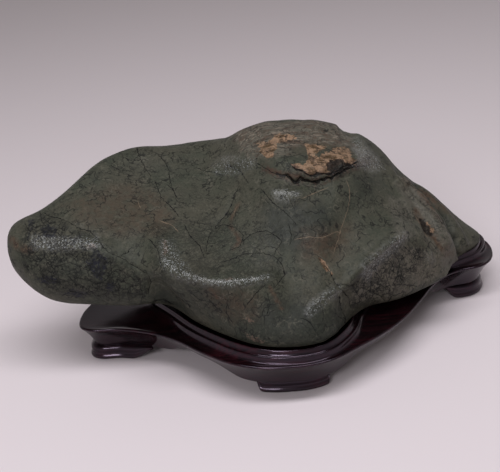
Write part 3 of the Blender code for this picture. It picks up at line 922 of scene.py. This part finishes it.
# %% Rim and seat
# where the origin of the drawn outlines lies, in mm from the origin of the model
CENTRE = (4.334, -7.0)
RIM = ((-125, -8), (-121, -20), (-100, -24), (-79, -32), (-62, -44), (-46, -61), (-22, -80),
       (4, -86), (28, -83), (48, -70), (64, -58), (80, -42), (94, -22), (106, -4), (122, 9),
       (143, 15), (153, 34), (149, 58), (134, 76), (108, 84), (84, 92), (58, 100), (30, 97),
       (4, 88), (-20, 88), (-46, 93), (-72, 86), (-90, 66), (-100, 44), (-116, 20))
SEAT = ((-64, 0), (-62, -10), (-59, -19), (-55, -28), (-47, -38), (-33, -54), (-14, -67),
        (4, -73), (22, -70), (37, -60), (46, -44), (54, -28), (72, -8), (92, 6), (110, 14),
        (125, 20), (141, 30), (142, 52), (128, 66), (104, 75), (82, 81), (56, 84), (30, 84),
        (6, 81), (-16, 80), (-38, 79), (-54, 71), (-63, 56), (-67, 38), (-66, 18))
CURVE_STEPS = 4


def ring_of(name, outline):
    """A closed smooth ring of points through a drawn outline, anticlockwise from above."""
    data = bpy.data.curves.new(name, "CURVE")
    line = data.splines.new("BEZIER")
    line.bezier_points.add(len(outline) - 1)
    line.use_cyclic_u = True
    line.resolution_u = CURVE_STEPS
    for point, (x, y) in zip(line.bezier_points, outline):
        point.co = ((x + CENTRE[0]) * MM, (y + CENTRE[1]) * MM, 0)
        point.handle_left_type = point.handle_right_type = "AUTO"
    curve = bpy.data.objects.new(name, data)
    bpy.context.scene.collection.objects.link(curve)
    alone(curve)
    bpy.ops.object.convert(target="MESH")
    ring = rows_of(bpy.context.object.data.vertices, "co")[:, :2]
    bpy.data.objects.remove(bpy.context.object)
    return ring


rim = ring_of("rim_line", RIM)
seat = ring_of("seat_line", SEAT)
print("rings of", len(rim), "and", len(seat), "points")

# %% [markdown]
# The carver scribes the lip to the stone itself. Here a ray goes from each rim point towards the
# seat, at a few heights near the lip, and where it meets the stone the lip stops just short of it.
# Under the overhangs no ray meets the stone, and the drawn seat line holds.

# %% Scribing the lip to the stone
LIP_GAP, LIP_REACH = 1.9 * MM, 6 * MM
RAY_HEIGHTS = (30, 31, 32, 33)
# under the overhang at the front right the drawn seat line holds
OVERHANG = range(10 * CURVE_STEPS, 16 * CURVE_STEPS)
shape = BVHTree.FromPolygons([Vector(p) for p in rows],
                             [tuple(face.vertices) for face in stone.data.polygons])
scribed = seat.copy()
for i, (outer, inner) in enumerate(zip(rim, seat)):
    width = np.linalg.norm(inner - outer)
    way = (inner - outer) / width
    ahead = [shape.ray_cast(Vector((*outer, z * MM)), Vector((*way, 0)))[3] for z in RAY_HEIGHTS]
    reached = [length for length in ahead if length is not None]
    if reached and i not in OVERHANG:
        stop = min(min(reached), width + LIP_REACH)
        scribed[i] = outer + way * (stop - LIP_GAP)
for _ in range(3):
    scribed = (np.roll(scribed, 1, 0) + 2 * scribed + np.roll(scribed, -1, 0)) / 4
moved = np.linalg.norm(scribed - seat, axis=1) / MM
print("lip moved by up to", moved.max().round(1), "mm to meet the stone")

# %% [markdown]
# ## The stand's body
# The moulding is drawn as a run of rings, from the hidden underside, up the cove, over the sharp
# rim, across the dished top to a small bead, through a groove and over the rounded lip, and down
# into the seat. Between the feet the rail is cut away in low arches: there the lower edge of the
# cove rises, and the rings above it are pressed together below the rim. The body starts as a
# filled circle of 120 points; each extrusion lifts the next ring off the last one, and the ring is
# then moved to its place.

# %% Directions in from the rim
def unit(vectors):
    """Vectors brought to length 1."""
    return vectors / np.linalg.norm(vectors, axis=1)[:, None]


along_rim = np.roll(rim, -1, 0) - np.roll(rim, 1, 0)
inward = unit(np.stack((-along_rim[:, 1], along_rim[:, 0]), axis=1))
for _ in range(12):
    inward = unit(np.roll(inward, 1, 0) + inward + np.roll(inward, -1, 0))
outward_from_seat = unit(rim - scribed)
print("the first point of the rim looks in along", inward[0].round(2))

# %% The arches between the feet
# each: (start and end of the sole, length of its scooped ends, all in rim points; mm set in)
FEET = ((0.1, 2.3, 1.0, 0), (6.1, 8.3, 0.25, 6), (14.3, 16.6, 0.6, 1), (20, 22, 0.6, 2),
        (25, 27, 0.6, 2))
EDGE_LOW, EDGE_HIGH = 9.4, 18
# how far from a foot an arch reaches its height, in rim points
ARCH_RISE = 0.8
# the cove from its lower edge nearly to the rim: (inset from the rim line, height)
COVE = ((9.6, 9), (9.2, 10), (8.7, 11.6), (7.3, 15), (5.1, 18.8), (2.8, 22), (1.2, 24))


def cove_edge(place):
    """Height of the cove's lower edge at a place counted in drawn rim points."""
    gaps = []
    for start, end, scoop, _ in FEET:
        along = (place - start + scoop) % len(RIM)
        gaps.append(max(0, min(along - (end - start + 2 * scoop), len(RIM) - along)))
    rise = min(1, min(gaps) / ARCH_RISE)
    return EDGE_LOW + (EDGE_HIGH - EDGE_LOW) * rise ** 2 * (3 - 2 * rise)


def cove_inset(heights):
    """How far in from the rim line the cove lies at some heights."""
    insets, levels = zip(*COVE)
    return np.interp(heights, levels, insets)


edge = np.array([cove_edge(i / CURVE_STEPS) for i in range(len(rim))])
print("lower edge of the cove at", edge.min(), "to", edge.max(), "mm")

# %% Sections of the moulding
# under the rail: (inset from the rim line, height), then (further in than the edge, above the edge)
HIDDEN = ((22, 9.1), (17, 9.1))
EDGE_ROLL = ((2.2, 0.9), (0.8, 0.1), (0.25, 0))
# up the cove, as shares of the way from the lower edge to its last height
CLIMB = (0.03, 0.1, 0.25, 0.45, 0.65, 0.85, 1)
# over the rim
SHARP_RIM = ((0.5, 24.7), (0.3, 25.1), (0.4, 25.6), (0.8, 26.0), (1.3, 26.1))
# across the dished top, as shares of the way from the rim to the bead, with heights
DISH = ((0.12, 25.8), (0.34, 25.6), (0.58, 25.7), (0.8, 26.1), (0.93, 27.1))
# bead, groove and lip: (distance out from the seat, height)
LIP = ((4.9, 29.2), (4.5, 29.6), (4.0, 29.6), (3.6, 29.1), (3.1, 28.7), (2.4, 28.9), (1.7, 29.9),
       (1.2, 31.2), (0.9, 31.8), (0.4, 32.1), (-0.1, 31.8), (-0.4, 31.0), (-0.7, 28), (-3, 24.5),
       (-12, 20.6))
print("the lip is", max(height for _, height in LIP), "mm high")

# %% The run of rings
def in_plan(flat, heights):
    """A ring drawn from above, lifted to its heights."""
    return np.column_stack((flat, np.zeros(len(flat)) + heights * MM))


rings = [in_plan(rim + inward * inset * MM, height) for inset, height in HIDDEN]
rings += [in_plan(rim + inward * (cove_inset(edge) + further)[:, None] * MM, edge + above)
          for further, above in EDGE_ROLL]
for share in CLIMB:
    heights = edge + (COVE[-1][1] - edge) * share
    rings.append(in_plan(rim + inward * cove_inset(heights)[:, None] * MM, heights))
rings += [in_plan(rim + inward * inset * MM, height) for inset, height in SHARP_RIM]
shore = rim + inward * SHARP_RIM[-1][0] * MM
bead = scribed + outward_from_seat * LIP[0][0] * MM
rings += [in_plan(shore + (bead - shore) * share, height) for share, height in DISH]
rings += [in_plan(scribed + outward_from_seat * out * MM, height) for out, height in LIP]
print(len(rings), "rings of", len(rim), "points")

# %% Lofting by extrusion
def loft(name, rings):
    """A closed body through a run of rings: a filled circle, extruded once for each next ring."""
    count = len(rings[0])
    bpy.ops.mesh.primitive_circle_add(vertices=count, radius=1, fill_type="NGON")
    ob = bpy.context.object
    ob.name = name
    order = ob.data.attributes.new("order", "INT", "POINT")
    order.data.foreach_set("value", list(range(count)))
    bpy.ops.object.mode_set(mode="EDIT")
    bpy.ops.mesh.select_all(action="SELECT")
    bpy.ops.object.mode_set(mode="OBJECT")
    for step, ring in enumerate(rings):
        if step:
            bpy.ops.object.mode_set(mode="EDIT")
            bpy.ops.mesh.extrude_region_move()
            bpy.ops.object.mode_set(mode="OBJECT")
        order = ob.data.attributes["order"].data
        for point in ob.data.vertices:
            if point.select:
                point.co = ring[order[point.index].value]
    bpy.ops.object.mode_set(mode="EDIT")
    bpy.ops.mesh.select_all(action="SELECT")
    bpy.ops.mesh.normals_make_consistent(inside=False)
    bpy.ops.object.mode_set(mode="OBJECT")
    return ob


body = loft("carved_stand", rings)
print("body faces:", len(body.data.polygons))

# %% [markdown]
# ## The feet
# Five low feet stand under the lobes. Each is carved like a small cushion: its face swells out
# below the cove, draws in, and flares to a thin toe just above the table, and its ends are scooped
# up to the rail. A foot is the same loft, with its section carried along the rim and shrunk
# towards the rail at both ends.

# %% Sections of a foot
# (inset from the rim, height), from inside the stand down the face and under the sole
FOOT = ((11.5, 11.5), (9.6, 9.6), (8.0, 8.8), (7.0, 7.6), (6.9, 6.2), (7.1, 5.0), (7.0, 4.0),
        (6.4, 3.1), (5.9, 2.3), (5.9, 1.4), (6.5, 0.6), (7.6, 0.1), (9.2, 0), (19.5, 0), (20.6, 1),
        (21, 11.5))
# where the scooped tips end, how far they draw in, and how far in the sections aim, in mm
FOOT_TOP, TIP_IN, FOOT_AIM = 10.5, 3, 45
SOLE_STEPS, SCOOP_STEPS = 8, 5


def rim_place(place):
    """A point of the rim ring, at a place counted in drawn rim points."""
    spot = place * CURVE_STEPS
    i = int(np.floor(spot))
    share = spot - i
    return rim[i % len(rim)] * (1 - share) + rim[(i + 1) % len(rim)] * share


def foot_rings(start, end, scoop, set_in):
    """The sections of one foot, from the tip of one scooped end to the tip of the other."""
    middle = rim_place((start + end) / 2)
    chord = rim_place(end) - rim_place(start)
    target = middle + np.array((-chord[1], chord[0])) / np.linalg.norm(chord) * FOOT_AIM * MM
    up = [i / SCOOP_STEPS for i in range(SCOOP_STEPS)]
    ends = [(start - scoop * (1 - t), 1 - (3 * t ** 2 - 2 * t ** 3) ** 0.8) for t in up]
    flat = [(start + (end - start) * i / SOLE_STEPS, 0) for i in range(SOLE_STEPS + 1)]
    places = ends + flat + [(start + end - p, lift) for p, lift in reversed(ends)]
    made = []
    for p, lift in places:
        here = rim_place(p)
        way = (target - here) / np.linalg.norm(target - here)
        made.append(np.array([(*(here + way * (inset + set_in + TIP_IN * lift) * MM),
                               (height + max(0, FOOT_TOP - height) * lift) * MM)
                              for inset, height in FOOT]))
    return made


feet = [loft("foot", foot_rings(*foot)) for foot in FEET]
print(len(feet), "feet")

# %% One carved piece
for ob in (body, *feet):
    smooth(ob, 2)
bpy.ops.object.select_all(action="DESELECT")
for ob in (body, *feet):
    ob.select_set(True)
bpy.context.view_layer.objects.active = body
bpy.ops.object.join()
stand = bpy.context.object
bpy.ops.object.shade_smooth()
print("stand faces:", len(stand.data.polygons))

# %% [markdown]
# ## Lacquered rosewood
# Rosewood is a dense, oily, purple-brown wood with darker streaks that run along the block. It is
# finished with a few rubbed coats of lacquer stained with its own purple-brown, so the colour
# stays deep and the light shows mostly as clean, faintly purple reflections. Lacquer has an index
# of refraction near 1.5.

# %% Stand: wood and lacquer
rosewood, tree, shader = new_material("lacquered rosewood")
place = add_node(tree, "TexCoord").outputs["Object"]
# the streaks of the wood, in mm
STREAK_LONG, STREAK_WIDE = 45, 1.6
stretch = (per_mm / STREAK_LONG, per_mm / STREAK_WIDE, per_mm / STREAK_WIDE)
stretched = add_node(tree, "Mapping", {"Vector": place, "Scale": stretch}).outputs[0]
streak = add_node(tree, "TexNoise", {"Vector": stretched, "Scale": 1.0, "Detail": 4.0}).outputs[0]
wood = blend(spread(streak, 0.4, 0.66), linear("#060304"), linear("#260A10"))
wood = blend(spread(mottle(40), 0.4, 0.6, 0, 0.7), wood, linear("#050304"))
tree.links.new(wood, shader.inputs["Base Color"])
tree.links.new(spread(mottle(12), 0.35, 0.65, 0.12, 0.2), shader.inputs["Roughness"])
shader.inputs["IOR"].default_value = 1.5
shader.inputs["Specular IOR Level"].default_value = 0.42
shader.inputs["Specular Tint"].default_value = linear("#F8E2FA")
brushed = add_node(tree, "Bump", {"Height": streak, "Distance": 0.03 * MM, "Strength": 1.0})
tree.links.new(brushed.outputs[0], shader.inputs["Normal"])
print("wood material has", len(tree.nodes), "nodes")

# %% Dressing the stand
stand.data.materials.clear()
stand.data.materials.append(rosewood)
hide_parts("stand")
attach(stand, "root")
print("stand has", triangles_of(stand), "triangles")

# %% [markdown]
# ## The size
# The fine surface is meant to stay inside the box of the imported model; both boxes are printed.

# %% Sizes and the end
visual_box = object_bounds()
for name, box in (("packed", cad_box), ("dressed", visual_box)):
    print(name, [[round(c / MM, 2) for c in corner] for corner in box])
